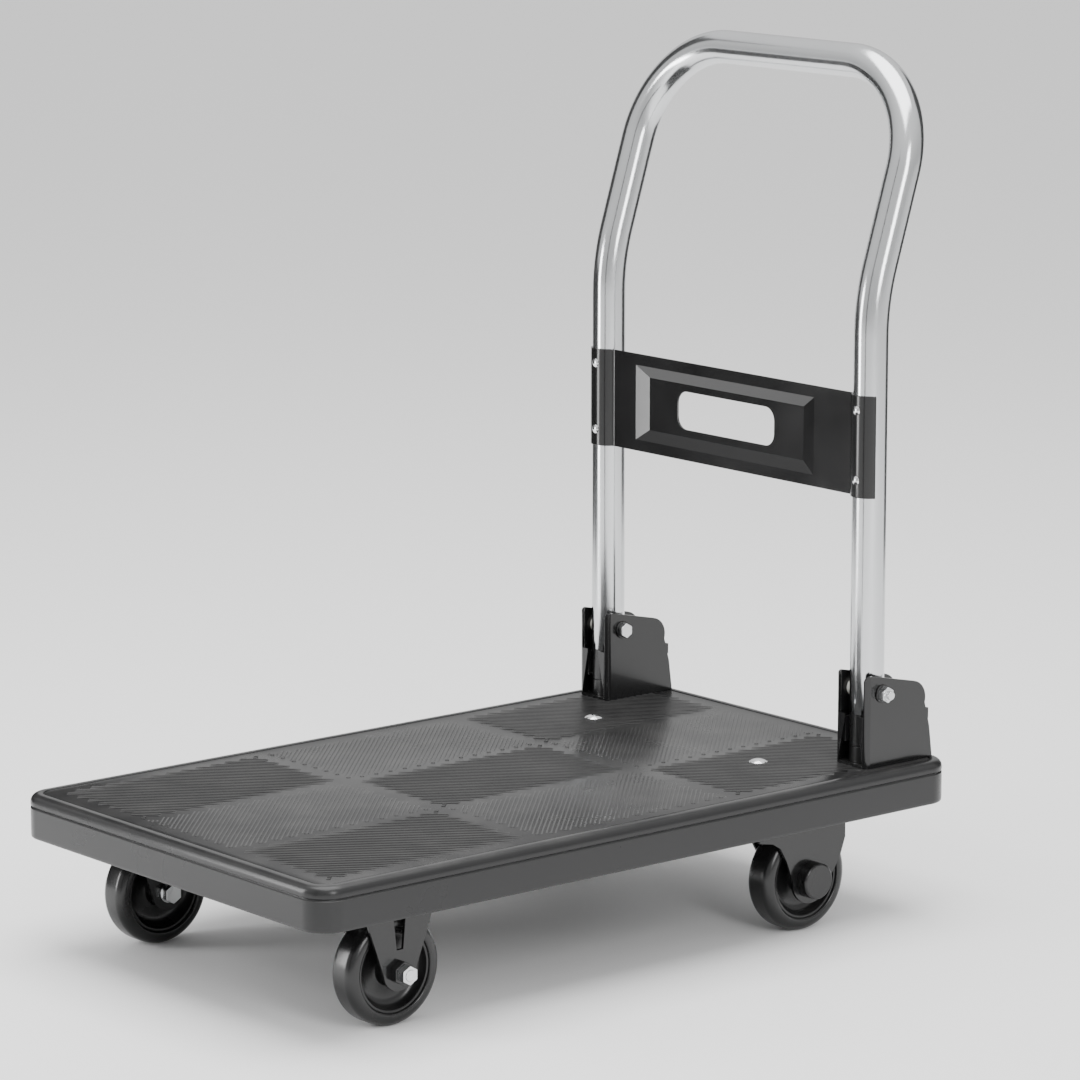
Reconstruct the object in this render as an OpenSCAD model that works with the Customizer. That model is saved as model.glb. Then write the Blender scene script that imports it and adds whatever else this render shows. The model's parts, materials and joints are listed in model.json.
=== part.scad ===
// Folding platform cart: moulded deck, two fixed and two swivel casters,
// and a push handle that folds forward over the deck.
// Millimetres, +Z up, +X to the right seen from the free end, handle at +Y.
// Origin: floor level, under the middle of the cart's overall box.

/* [Deck] */
// Width of the deck across the cart
deck_w = 450; // [400:10:560]
// Length of the deck from the free end to the handle end
deck_l = 742; // [700:2:900]
// Height of the load surface above the floor
deck_top = 148; // [146:1:160]
// Height of the deck's side skirt
skirt_h = 40; // [38:1:46]
// Thickness of the load surface
deck_t = 5; // [4:0.5:7]
// Thickness of the skirt wall
skirt_t = 4; // [3:0.5:6]
// Radius of the deck's upright corners
corner_r = 26; // [18:1:40]
// Radius of the rolled top edge
edge_r = 8; // [5:1:10]
// Thickness of the stiffening ribs
rib_t = 2.5; // [2:0.25:4]

/* [Casters] */
// Wheel diameter
wheel_d = 100; // [80:1:100]
// Width of the tyre
tyre_w = 30; // [26:1:34]
// Radius of the axle bolts
axle_r = 5; // [4:0.5:6]
// Side plate thickness of the forks
fork_t = 3; // [2.5:0.5:4]
// Length of a caster's top plate, along the cart
plate_l = 94; // [88:1:100]
// Width of a caster's top plate, across the cart
plate_w = 68; // [64:1:74]
// Thickness of a caster's top plate
plate_t = 3.2; // [2.5:0.1:4]
// Distance of the wheels from the middle line of the cart
caster_x = 171; // [150:1:180]
// Distance of the fixed axles from the free end of the deck
front_axle_inset = 111; // [100:1:140]
// Distance of the swivel axes from the handle end of the deck
swivel_inset = 112; // [104:1:140]
// Distance from a swivel axis to its wheel's axle
trail = 37; // [30:1:40]

/* [Handle] */
// Outer diameter of the handle tube
tube_d = 32; // [28:1:34]
// Wall of the handle tube
tube_wall = 1.5; // [1:0.1:2.5]
// Distance between the two legs, centre to centre
leg_gap = 368; // [320:2:372]
// Height of the top bar's highest line above the floor
handle_h = 805; // [760:5:900]
// Height of the bend where the legs start to lean
bend_h = 581; // [540:1:620]
// Lean of the upper handle
lean = 17.6; // [10:0.2:22]
// Centre line radius of the lean bend
bend_r = 210; // [120:5:240]
// Centre line radius of the two top corners
top_r = 97; // [80:1:120]
// Distance of the legs from the handle end of the deck
leg_inset = 74; // [70:1:90]

/* [Panel] */
// Height of the panel's lower edge above the deck
panel_z = 252; // [200:2:300]
// Height of the panel
panel_h = 95; // [80:1:120]
// Thickness of the panel sheet
panel_t = 1.5; // [1:0.25:2]
// Width of the hand hole
hand_w = 136; // [110:2:150]
// Height of the hand hole
hand_h = 37; // [32:1:42]

/* [Hinges] */
// Height of the fold axis above the deck
pivot_up = 69; // [66:1:76]
// Thickness of the bracket's steel plate
bracket_t = 2.5; // [2:0.5:3]
// Gap on each side of the tube, filled by a spacer washer
side_gap = 2.5; // [2:0.25:4]
// Height of the bracket's front edge above the deck
bracket_h = 87; // [84:1:96]
// Length of the tube's end foot
foot_l = 32; // [28:1:34]
// Radius of the pivot bolts
pivot_r = 4; // [3:0.5:5]

/* [Hidden] */
$fn = 64;

eps = 0.02;                    // clearance of pieces that seat in each other
fit = 0.05;                    // radial clearance of a running fit
gap = 0.3;                     // clearance between moving neighbours
sides = [-1, 1];               // left, right
blind = 1;                     // how far a cutting shape runs past a face

// Overall layout
tube_r = tube_d / 2;
wheel_r = wheel_d / 2;
bar_h = handle_h - tube_r;                         // centre line of the top bar
bend_tan = bend_r * tan(lean / 2);                 // tangent length of the lean bend
lean_y = bend_r * (1 - cos(lean));                 // rearward run of the bend itself
lean_z = bend_h - bend_tan + bend_r * sin(lean);   // height at the end of the bend
lean_len = (bar_h - lean_z) / cos(lean);           // leaning length up to the bar
bar_back = lean_y + lean_len * sin(lean) + tube_r; // rear of the bar behind the legs' line
overhang = max(0, bar_back - leg_inset);           // bar past the deck's handle end
deck_y = -overhang / 2;                            // middle of the deck
front = deck_y - deck_l / 2;
back = deck_y + deck_l / 2;
skirt_z = deck_top - skirt_h;
leg_x = leg_gap / 2;
leg_y = back - leg_inset;
pivot_z = deck_top + pivot_up;

// Under the deck
front_mount_z = deck_top - 20;                     // top of the caster plates
backing_t = 3;
seat_z = front_mount_z;                            // underside of the backing plates
under_top = deck_top - deck_t;
rib_end = skirt_z + 10;
axle_y = front + front_axle_inset;
swivel_y = back - swivel_inset;
rear_y = swivel_y - trail;
hole_l = plate_l - 22;                             // hole pattern of a caster plate
hole_w = plate_w - 20;
m8_r = 4;
bolt_head_h = 5.3;                                 // head of a caster bolt
m6_r = 3;
boss_r = 9;
insert_r = 6.5;
insert_h = 11;

// Hinge brackets
half_in = tube_r + side_gap;                       // inner half width of a bracket
half_out = half_in + bracket_t;
web_y = leg_y - tube_r - 1.5 - bracket_t;          // front face of a bracket
bracket_l = 85;
base_t = 2.5;
washer_t = 1.6;
tube_end = deck_top + 48;                          // lower end of the chromed tube
foot_r = tube_r - 0.3;
foot_rad = pivot_z - (tube_end - foot_l) + 0.5;    // sweep of the foot about the fold axis
tooth = 2.5;                                       // depth of the locking tooth
rest_rad = foot_rad + gap;
lever_y = leg_y + 47;
lever_z = deck_top + 12;
pin_r = 2.5;
ear_x = 8;
ear_t = 2;
bolt_rows = [26, 58];                              // base bolts behind the legs' line
bolt_side = 13;
deck_bolt_x = 118;
deck_bolt_y = back - 149;

// Casters
fork_half = tyre_w / 2 + 2.5;                      // inner half width of a fork
fork_out = fork_half + fork_t;
hub_half = fork_half - 0.5;
core_r = wheel_r - 12;
bush_r = 8;
hub_r = 13;
ball_r = 2.5;
race_r = 17;
pin_bore = 6;                                      // bore of the swivel plate and crown
sink = 1.5;
crown_z = wheel_d + 4;
crown_t = 3.5;
spacer_h = 7;
nut_h = 8;
cap_r = 17;
cap_h = 11.5;
race_z = front_mount_z - plate_t - ball_r - 0.1;   // centre of the ball ring

steel_black = "#2b2b2d";
plastic_black = "#232325";
deck_grey = "#3c3c3e";
chrome = "#d5d7da";
zinc = "#c3c6c9";
brass = "#b8923f";
nylon = "#e4e2da";

// ---------- shared shapes ----------

// Hexagonal bar of a width across flats
module hex(af, h) cylinder(d = af / cos(30), h = h, $fn = 6);

// Bolt along -Z with a hexagonal head above z = 0
module hex_bolt(r, af, head, shank) {
    hex(af, head);
    translate([0, 0, -shank]) cylinder(r = r, h = shank + blind);
}

// Nut with a clear hole
module hex_nut(r, af, h) difference() {
    hex(af, h);
    translate([0, 0, -blind]) cylinder(r = r, h = h + 2 * blind);
}

// Flat washer
module washer(r_in, r_out, h) difference() {
    cylinder(r = r_out, h = h);
    translate([0, 0, -blind]) cylinder(r = r_in, h = h + 2 * blind);
}

// Places children with +Z turned outwards, along side * X
module outward(side) rotate([0, side * 90, 0]) children();

// Four corners of a hole pattern
module pattern(w, l) for (sx = sides, sy = sides) translate([sx * w / 2, sy * l / 2, 0]) children();

// Rectangle with round corners
module round_rect(w, l, r) {
    square([w - 2 * r, l], center = true);
    square([w, l - 2 * r], center = true);
    for (sx = sides, sy = sides) translate([sx * (w / 2 - r), sy * (l / 2 - r)]) circle(r);
}

// ---------- deck ----------

// Quarter-round shoulder of one upright corner
module deck_corner() {
    translate([0, 0, skirt_z]) cylinder(r = corner_r, h = skirt_h - edge_r, $fn = 32);
    translate([0, 0, deck_top - edge_r])
        rotate_extrude($fn = 32) intersection() {
            union() {
                square([corner_r - edge_r, edge_r]);
                translate([corner_r - edge_r, 0]) circle(edge_r, $fn = 32);
            }
            square([corner_r, edge_r]);
        }
}

// Places children at each fixed caster's plate centre and each swivel axis
module at_casters() for (s = sides, y = [axle_y, swivel_y]) translate([s * caster_x, y, 0]) children();

// Places children at every bracket base bolt
module at_bracket_bolts() for (s = sides, row = bolt_rows, e = sides)
    translate([s * leg_x + e * bolt_side, leg_y + row, 0]) children();

module at_deck_bolts() for (s = sides) translate([s * deck_bolt_x, deck_bolt_y, 0]) children();

// Room below the deck for a swivelling fork or a fixed one
module caster_room() {
    at_casters() translate([-plate_w / 2 - 4, -plate_l / 2 - 4, skirt_z - blind])
        cube([plate_w + 8, plate_l + 8, front_mount_z - skirt_z + blind]);
    for (s = sides) backing_outline(s, 3, skirt_z - blind, seat_z + backing_t);
}

module deck_ribs() {
    count_x = 7;
    count_y = 12;
    rib_h = under_top - rib_end + eps;
    for (i = [1 : count_x])
        translate([-deck_w / 2 + i * deck_w / (count_x + 1) - rib_t / 2, front + skirt_t, rib_end])
            cube([rib_t, deck_l - 2 * skirt_t, rib_h]);
    for (j = [1 : count_y])
        translate([-deck_w / 2 + skirt_t, front + j * deck_l / (count_y + 1) - rib_t / 2, rib_end])
            cube([deck_w - 2 * skirt_t, rib_t, rib_h]);
}

// Bosses stand on the load surface's underside and end at a height
module boss(z0) translate([0, 0, z0]) cylinder(r = boss_r, h = under_top - z0 + deck_t / 2);

module deck_bosses() {
    at_casters() pattern(hole_w, hole_l) boss(seat_z);
    at_bracket_bolts() boss(seat_z + backing_t);
    at_deck_bolts() boss(seat_z + backing_t);
}

// Hole up through the deck from below
module up_hole(r, h) translate([0, 0, skirt_z]) cylinder(r = r, h = h);

// Panel lines of the load surface: a shallow step just inside the rolled edge
module rim_groove() translate([0, deck_y, deck_top - 0.8]) linear_extrude(1.6) difference() {
    round_rect(deck_w - 2 * edge_r - 6, deck_l - 2 * edge_r - 6, corner_r - edge_r);
    round_rect(deck_w - 2 * edge_r - 10, deck_l - 2 * edge_r - 10, corner_r - edge_r - 2);
}

module deck() color(deck_grey) difference() {
    union() {
        difference() {
            hull() translate([0, deck_y, 0])
                pattern(deck_w - 2 * corner_r, deck_l - 2 * corner_r) deck_corner();
            translate([0, deck_y, skirt_z - blind]) linear_extrude(under_top - skirt_z + blind)
                round_rect(deck_w - 2 * skirt_t, deck_l - 2 * skirt_t, corner_r - skirt_t);
        }
        difference() {
            deck_ribs();
            caster_room();
        }
        deck_bosses();
    }
    rim_groove();
    for (s = sides) backing_outline(s, 0.5, skirt_z, seat_z + backing_t);
    at_casters() pattern(hole_w, hole_l) up_hole(insert_r, seat_z + backing_t + insert_h + gap - skirt_z);
    at_bracket_bolts() up_hole(m6_r + fit, skirt_h + blind);
    at_deck_bolts() up_hole(m8_r + fit, skirt_h + blind);
}

// ---------- under-deck steel ----------

backing_in = deck_bolt_x - 12;
backing_out = leg_x + bolt_side + 9;
backing_y = deck_bolt_y - 14;
backing_end = leg_y + bolt_rows[1] + 10;

// Outline of a backing plate, grown by a clearance
module backing_outline(side, grow, z0, z1)
    translate([side * (backing_in + backing_out) / 2, (backing_y + backing_end) / 2, z0])
        linear_extrude(z1 - z0)
            square([backing_out - backing_in + 2 * grow, backing_end - backing_y + 2 * grow], center = true);

module backing_plate(side) color(zinc) difference() {
    backing_outline(side, 0, seat_z, seat_z + backing_t);
    at_casters() pattern(hole_w, hole_l) up_hole(m8_r + fit, skirt_h);
    at_bracket_bolts() up_hole(m6_r + fit, skirt_h);
    at_deck_bolts() up_hole(m8_r + fit, skirt_h);
}

// Low domed heads on the load surface
module deck_bolts() color(chrome) at_deck_bolts() {
    head_r = 9;
    head_h = 3;
    dome = (head_r * head_r + head_h * head_h) / (2 * head_h);
    translate([0, 0, deck_top]) intersection() {
        translate([0, 0, head_h - dome]) sphere(dome);
        cylinder(r = head_r, h = head_h + blind);
    }
    translate([0, 0, seat_z - 10]) cylinder(r = m8_r, h = deck_top - seat_z + 10 + eps);
}

module deck_nuts() color(zinc) {
    at_deck_bolts() translate([0, 0, seat_z - 8]) hex_nut(m8_r + eps, 13, 8);
    at_bracket_bolts() translate([0, 0, seat_z - 6]) hex_nut(m6_r + eps, 10, 6);
}

module caster_inserts() color(brass) at_casters() pattern(hole_w, hole_l)
    translate([0, 0, front_mount_z + backing_t]) washer(m8_r + eps, insert_r - eps, insert_h);

module caster_bolts() color(zinc) at_casters() pattern(hole_w, hole_l)
    translate([0, 0, front_mount_z - plate_t]) rotate([180, 0, 0])
        hex_bolt(m8_r, 13, bolt_head_h, plate_t + backing_t + insert_h - 0.5);

// ---------- hinge brackets ----------

// Side view of a bracket plate: y to the rear, z up from the deck
module bracket_side() {
    top_back = bracket_h - 13;
    nose_r = 7;
    tail_r = 18;
    polygon([[0, 0], [0, bracket_h - nose_r], [nose_r, bracket_h], [60, top_back + 1.5],
             [60 + tail_r * 0.75, top_back - 16], [bracket_l - 4, 30], [bracket_l, 0]]);
    intersection() {
        translate([nose_r, bracket_h - nose_r]) circle(nose_r);
        square([nose_r, bracket_h]);
    }
    translate([60 - 2, top_back - tail_r + 2]) circle(tail_r - 0.5);
}

// Plan of a bracket: two cheeks joined by short front lips
module bracket_plan() {
    round_out = 6;
    difference() {
        union() {
            translate([-half_out, round_out]) square([2 * half_out, bracket_l - round_out]);
            translate([-half_out + round_out, 0]) square([2 * (half_out - round_out), bracket_l]);
            for (s = sides) translate([s * (half_out - round_out), round_out]) circle(round_out);
        }
        translate([-half_in, round_out]) square([2 * half_in, bracket_l]);
        translate([-half_in + round_out - bracket_t, bracket_t])
            square([2 * (half_in - round_out + bracket_t), bracket_l]);
        for (s = sides) translate([s * (half_out - round_out), round_out]) circle(round_out - bracket_t);
    }
}

// Front opening: open for the tube above, narrowing lips below
module bracket_opening() {
    half = tube_r + 0.6;
    lip = 8;
    top = tube_end - deck_top;
    rotate([90, 0, 0]) translate([0, 0, -bracket_t - 6.5]) linear_extrude(bracket_t + 8) {
        translate([-half, top]) square([2 * half, bracket_h]);
        polygon([[-half, base_t], [half, base_t], [lip, top - 3], [lip, top + 1],
                 [-lip, top + 1], [-lip, top - 3]]);
    }
}

// Round bar along X through a point of the side view
module cross_bar(y, z, r, w) translate([0, y, z]) rotate([0, 90, 0]) cylinder(r = r, h = w, center = true);

module bracket(side) color(steel_black) translate([side * leg_x, 0, deck_top]) {
    difference() {
        translate([0, web_y, 0]) intersection() {
            linear_extrude(bracket_h + blind) bracket_plan();
            rotate([90, 0, 90]) linear_extrude(3 * half_out, center = true) bracket_side();
        }
        translate([0, web_y, 0]) bracket_opening();
        cross_bar(leg_y, pivot_up, pivot_r + fit, 3 * half_out);
    }
    difference() {
        translate([-half_in - eps, web_y + bracket_t, 0])
            cube([2 * half_in + 2 * eps, bracket_l - bracket_t - 1.5, base_t]);
        for (row = bolt_rows, e = sides) translate([e * bolt_side, leg_y + row, -blind])
            cylinder(r = m6_r + fit, h = base_t + 2 * blind);
    }
    // Ears that carry the lock lever's pin
    difference() {
        for (e = sides) translate([e * (ear_x + ear_t / 2) - ear_t / 2, lever_y - 6, base_t - eps])
            cube([ear_t, 12, lever_z - deck_top - base_t + 5]);
        cross_bar(lever_y, lever_z - deck_top, pin_r + fit, 3 * half_out);
    }
}

module bracket_bolts() color(zinc) at_bracket_bolts() translate([0, 0, deck_top + base_t]) {
    cylinder(r1 = 4.8, r2 = 3.6, h = 3);
    translate([0, 0, seat_z - deck_top - base_t - 8])
        cylinder(r = m6_r, h = deck_top + base_t - seat_z + 8 + eps);
}

// Half-round blocks that carry the feet of the upright handle
module tube_rests() color(plastic_black) for (s = sides) translate([s * leg_x, leg_y, 0]) difference() {
    translate([0, 0, deck_top + base_t]) cylinder(r = foot_r, h = tube_end - foot_l - deck_top);
    cross_bar(0, pivot_z, rest_rad, 2 * tube_d);
    translate([-tube_r, 5, deck_top]) cube([tube_d, tube_d, tube_end - deck_top]);
}

// Places children on the fold axis, in the middle of one leg
module at_pivot(side) translate([side * leg_x, leg_y, pivot_z]) children();

// Bolt heads face the middle of the cart
module pivot_bolts() color(zinc) for (s = sides) at_pivot(s) outward(-s)
    translate([0, 0, half_out + washer_t]) hex_bolt(pivot_r, 13, 5.5, 2 * half_out + 2 * washer_t + 11);

// Lock nuts with a round collar
module pivot_nuts() color(zinc) for (s = sides) at_pivot(s) outward(s)
    translate([0, 0, half_out + washer_t]) {
        hex_nut(pivot_r + eps, 13, 6.5);
        translate([0, 0, 6.5]) washer(pivot_r + eps, 5.6, 1.5);
    }

module pivot_washers() color(zinc) for (s = sides, e = sides) at_pivot(s) outward(e)
    translate([0, 0, half_out]) washer(pivot_r + fit, 8.5, washer_t);

// Nylon spacers between the tube and the cheeks, saddled on the tube
module pivot_spacers() color(nylon) for (s = sides, e = sides) at_pivot(s) difference() {
    outward(e) translate([0, 0, tube_r - 2]) washer(pivot_r + fit, 8, half_in - tube_r + 2 - fit);
    cylinder(r = tube_r + eps, h = tube_d, center = true);
}

// ---------- handle lock ----------

arm_low = 3.5;                 // underside of the lever's arm below its pin
pad_y = 12;                    // front face of the kick pad behind the pin
pad_top = 34;                  // top of the kick pad above the pin
spring_half = 4;               // half width of the torsion spring

// Point of the nose's crest, at an angle back from straight under the fold axis
function crest(ang) = [rest_rad * sin(ang) + leg_y - lever_y, pivot_z - rest_rad * cos(ang) - lever_z];

// Side view of a lock lever about its pin: y to the rear, z up
module lever_side() {
    nose = foot_r + 0.5;                               // face that the foot's tooth meets
    nose_deg = asin(nose / rest_rad);
    low = crest(nose_deg);
    high = crest(nose_deg + 6);
    circle(5);
    polygon([[low[0], -arm_low], low, high, [high[0] + 5, 1], [0, 5], [0, -arm_low]]);
    polygon([[-4, 0], [pad_y, pad_top], [pad_y + 4.5, pad_top], [pad_y + 4.5, pad_top - 6], [5, 0]]);
}

module lock_lever(side) color(steel_black) translate([side * leg_x, lever_y, lever_z]) difference() {
    union() {
        rotate([90, 0, 90]) linear_extrude(2 * (ear_x - gap), center = true) lever_side();
        // Kick pad
        translate([-half_in + 1.5, pad_y, pad_top - 10]) cube([2 * half_in - 3, 4.5, 10]);
    }
    cross_bar(0, 0, pin_r + fit, 3 * half_out);
    // Room for the spring
    cross_bar(0, 0, 7, 2 * spring_half);
}

module lock_pins() color(zinc) for (s = sides) translate([s * leg_x, lever_y, lever_z]) outward(s) {
    half = ear_x + ear_t + 1.5;
    translate([0, 0, -half]) cylinder(r = pin_r, h = 2 * half);
    for (e = [-half - 1, half]) translate([0, 0, e]) cylinder(r = pin_r + 1.3, h = 1);
}

wire_r = 0.7;
coil_r = arm_low + wire_r + 0.1;
coil_x = spring_half - wire_r - 0.3;   // end turns of the coil, from its middle
coil_turns = 2.889;                    // ends 40 degrees short of its lowest point
foot_drop = lever_z - deck_top - base_t - wire_r - 0.05;

// Helix about the pin, with one leg under the lever's arm and one down to the bracket's base
function coil_points(steps) = let (
        end_a = 360 * coil_turns - 90,
        end = [coil_x, coil_r * cos(end_a), coil_r * sin(end_a)],
        run = (foot_drop + end[2]) / -cos(end_a))
    concat(
        [[-coil_x, -14, -coil_r]],
        [for (i = [0 : steps]) let (a = -90 + 360 * coil_turns * i / steps)
            [-coil_x + 2 * coil_x * i / steps, coil_r * cos(a), coil_r * sin(a)]],
        [end + run * [0, -sin(end_a), cos(end_a)]]);

function unit(v) = v / norm(v);

// Rings of a round wire along points, as one closed skin
module wire(pts, r, n) {
    last = len(pts) - 1;
    rings = [for (i = [0 : last])
        let (t = unit(pts[min(i + 1, last)] - pts[max(i - 1, 0)]),
             u = unit(cross(t, [0.9, 0.1, 0.42])), v = cross(t, u))
        [for (k = [0 : n - 1]) pts[i] + r * (u * cos(360 * k / n) + v * sin(360 * k / n))]];
    polyhedron(
        points = [for (ring = rings) each ring],
        faces = concat(
            [[for (k = [n - 1 : -1 : 0]) k]],
            [for (i = [0 : last - 1], k = [0 : n - 1]) let (a = i * n + k, b = i * n + (k + 1) % n)
                each [[a, b, b + n], [a, b + n, a + n]]],
            [[for (k = [0 : n - 1]) last * n + k]]));
}

module lock_spring(side) color(zinc) translate([side * leg_x, lever_y, lever_z])
    wire(coil_points(48), wire_r, 8);

// ---------- handle ----------

// Slight swell where a bend meets a straight stretch
module seam(r) cylinder(r = r + swell, h = 2, center = true);

swell = 0.25;

// One leg with its bends, right-hand side, as a solid bar of radius r
module half_loop(r, z0) {
    straight = bend_h - bend_tan;
    translate([leg_x, leg_y, z0]) cylinder(r = r, h = straight - z0);
    translate([leg_x, leg_y, straight]) seam(r);
    translate([leg_x, leg_y + bend_r, straight]) rotate([90, 0, -90])
        rotate_extrude(angle = lean) translate([bend_r, 0]) circle(r);
    translate([0, leg_y + lean_y, lean_z]) rotate([-lean, 0, 0]) {
        translate([leg_x, 0, 0]) cylinder(r = r, h = lean_len - top_r);
        translate([leg_x, 0, 0]) seam(r);
        translate([leg_x, 0, lean_len - top_r]) seam(r);
        translate([leg_x - top_r, 0, lean_len - top_r]) rotate([90, 0, 0])
            rotate_extrude(angle = 90) translate([top_r, 0]) circle(r);
        translate([leg_x - top_r, 0, lean_len]) rotate([0, 90, 0]) seam(r);
    }
}

module loop(r, z0) {
    for (s = [0, 1]) mirror([s, 0, 0]) half_loop(r, z0);
    translate([0, leg_y + lean_y, lean_z]) rotate([-lean, 0, 0])
        cross_bar(0, lean_len, r, leg_gap - 2 * top_r);
}

rivet_r = 2.4;
rivet_up = [16, 81];           // rivet heights above the panel's lower edge
panel_bottom = deck_top + panel_z;

// Places children at the legs' rivets, +Z turned to the front
module at_rivets() for (s = sides, z = rivet_up)
    translate([s * leg_x, leg_y, panel_bottom + z]) rotate([90, 0, 0]) children();

module handle_tube() color(chrome) difference() {
    loop(tube_r, tube_end);
    loop(tube_r - tube_wall, tube_end - blind);
    cross_bar(leg_y, pivot_z, pivot_r + fit, deck_w);
    at_rivets() cylinder(r = rivet_r + eps, h = tube_d);
}

// Moulded end of each leg, with the tooth that the lock lever holds
module tube_foot(side) color(plastic_black) translate([side * leg_x, leg_y, 0]) {
    intersection() {
        translate([0, 0, tube_end - foot_l - tooth]) cylinder(r = foot_r, h = foot_l + tooth);
        union() {
            cross_bar(0, pivot_z, foot_rad, 2 * tube_d);
            intersection() {
                cross_bar(0, pivot_z, foot_rad + tooth, 2 * tube_d);
                translate([-tube_d, foot_rad * sin(12.5), 0]) cube([2 * tube_d, tube_d, pivot_z]);
            }
        }
    }
    translate([0, 0, tube_end - eps]) cylinder(r = tube_r - tube_wall - eps, h = 9);
    // Ribs that meet the bracket's lips when the handle is pulled back
    for (e = sides) translate([e * 11 - 1.5, -tube_r - 1.2, tube_end - 27]) cube([3, 8, 24]);
}

// ---------- panel ----------

wrap_deg = 65;                                     // how far the sheet wraps each side of the tube's front
wrap_r = tube_r + panel_t;
sheet_y = -wrap_r * cos(wrap_deg) - 0.4;           // outer face of the flat sheet, from the legs' line
flat_half = leg_x - wrap_r * sin(wrap_deg);
lap = 1;                                           // how far the flat sheet runs into the wrapped ends
dish = 3;                                          // depth of the pressed field
dish_shift = -9;                                   // the field sits a little to the left
dish_w = 252;
dish_h = 73;
dish_slope = 17;
dish_rise = 11;

// Sector of a ring, opening to -Y
module wrap_plan() difference() {
    edge = wrap_r * [sin(wrap_deg), cos(wrap_deg)];
    intersection() {
        circle(wrap_r);
        polygon([[0, 0], -3 * edge, [-3 * wrap_r, -4 * wrap_r],
                 [3 * wrap_r, -4 * wrap_r], [3 * edge[0], -3 * edge[1]]]);
    }
    circle(tube_r + eps);
}

// Solid of the pressed field between two depths behind the sheet's outer face, moved back by a thickness
module field(from, to, back) {
    points = [for (d = [from, to], c = [[-1, -1], [1, -1], [1, 1], [-1, 1]])
        [c[0] * (dish_w / 2 - dish_slope * d / dish), d + back, c[1] * (dish_h / 2 - dish_rise * d / dish)]];
    translate([dish_shift, sheet_y, panel_h / 2]) polyhedron(
        points = points,
        faces = [[0, 3, 2, 1], [4, 5, 6, 7], [0, 1, 5, 4], [1, 2, 6, 5], [2, 3, 7, 6], [3, 0, 4, 7]]);
}

module handle_panel() color(plastic_black) translate([0, leg_y, panel_bottom]) difference() {
    union() {
        linear_extrude(panel_h) {
            for (s = sides) translate([s * leg_x, 0]) wrap_plan();
            translate([-flat_half - lap, sheet_y]) square([2 * (flat_half + lap), panel_t]);
        }
        field(-panel_t / 2, dish, panel_t);
    }
    field(-1, dish, 0);
    translate([dish_shift, 0, panel_h / 2]) rotate([90, 0, 0])
        linear_extrude(2 * wrap_r, center = true) round_rect(hand_w, hand_h, 10);
    translate([0, -leg_y, -panel_bottom]) at_rivets() cylinder(r = rivet_r + eps, h = tube_d);
}

module panel_rivets() color(chrome) at_rivets() {
    translate([0, 0, tube_r - tube_wall - 2]) cylinder(r = rivet_r, h = panel_t + tube_wall + 2 + eps);
    translate([0, 0, wrap_r + eps]) intersection() {
        translate([0, 0, -4.6]) sphere(6.4);
        cylinder(r = 4.4, h = 2.5);
    }
}

// ---------- casters ----------

// Plate with a hole pattern, top face at z = 0
module top_plate(bore) difference() {
    translate([0, 0, -plate_t]) linear_extrude(plate_t) round_rect(plate_w, plate_l, 8);
    pattern(hole_w, hole_l) translate([0, 0, -plate_t - blind])
        cylinder(r = m8_r + 0.3, h = plate_t + 2 * blind);
    translate([0, 0, -plate_t - blind]) cylinder(r = bore, h = plate_t + 2 * blind);
}

// Side plates of a fork: the side view about the axle, at both sides of the wheel
module cheeks() for (e = sides) translate([e * (fork_half + fork_t / 2), 0, 0]) rotate([90, 0, 90])
    linear_extrude(fork_t, center = true) children();

// Side view of a fixed fork's cheek about the axle, z up into the plate
module rigid_side(top) difference() {
    union() {
        polygon([[-36, top + 1], [-34, top - 28], [-15.5, -6], [15.5, -6], [33, top - 36], [44, top + 1]]);
        circle(17);
    }
    polygon([[-9, top - 3], [9, top - 3], [4, 20], [-3, 20]]);
    // Room for the plate's bolt heads
    for (e = sides) translate([e * (hole_l / 2 + 1) - 9, top - bolt_head_h - 0.7])
        square([18, bolt_head_h + 3]);
}

module rigid_fork(side) color(steel_black) translate([side * caster_x, axle_y, front_mount_z]) {
    drop = front_mount_z - wheel_r;
    top_plate(9);
    translate([0, 0, -drop]) difference() {
        cheeks() rigid_side(drop - plate_t);
        cross_bar(0, 0, axle_r + fit, 3 * fork_out);
    }
}

module swivel_plate(side) color(zinc) translate([side * caster_x, swivel_y, front_mount_z]) {
    difference() {
        top_plate(pin_bore);
        // Countersink of the kingpin's head
        translate([0, 0, -sink]) cylinder(r1 = pin_bore, r2 = pin_bore + 2 * sink, h = 2 * sink);
    }
    // Upper race cup
    translate([0, 0, -plate_t - 7]) washer(race_r + ball_r + 2.5, race_r + ball_r + 5, 7 + eps);
}

cheek_top = crown_z - wheel_r;                     // crown underside above the axle

// Side view of a swivel fork's cheek about the axle
module swivel_side() {
    polygon([[-66, cheek_top + eps], [-64, cheek_top - 10], [-48, cheek_top - 13], [-38, cheek_top - 19],
             [-30, cheek_top - 33], [-22, 0], [20, -6], [30, 6], [38, 20], [43, 34],
             [43, cheek_top - 8], [36, cheek_top + eps]]);
    circle(22.5);
}

module swivel_fork(side) color(steel_black) translate([side * caster_x, swivel_y, 0]) {
    difference() {
        union() {
            // Crown, held clear of the tyre
            translate([-fork_out, -trail - 66, crown_z]) cube([2 * fork_out, trail + 66, crown_t]);
            translate([0, 0, crown_z]) cylinder(r = race_r + ball_r + 1.5, h = crown_t);
            // Lower race under the balls
            translate([0, 0, crown_z + crown_t - eps])
                cylinder(r = race_r + ball_r + 1, h = race_z - crown_z - crown_t - 1);
            translate([0, -trail, wheel_r]) cheeks() swivel_side();
        }
        translate([0, 0, crown_z - blind]) cylinder(r = pin_bore, h = 40);
        translate([0, 0, race_z]) rotate_extrude() translate([race_r, 0]) circle(ball_r + fit);
        cross_bar(-trail, wheel_r, axle_r + fit, 3 * fork_out);
    }
}

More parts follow.
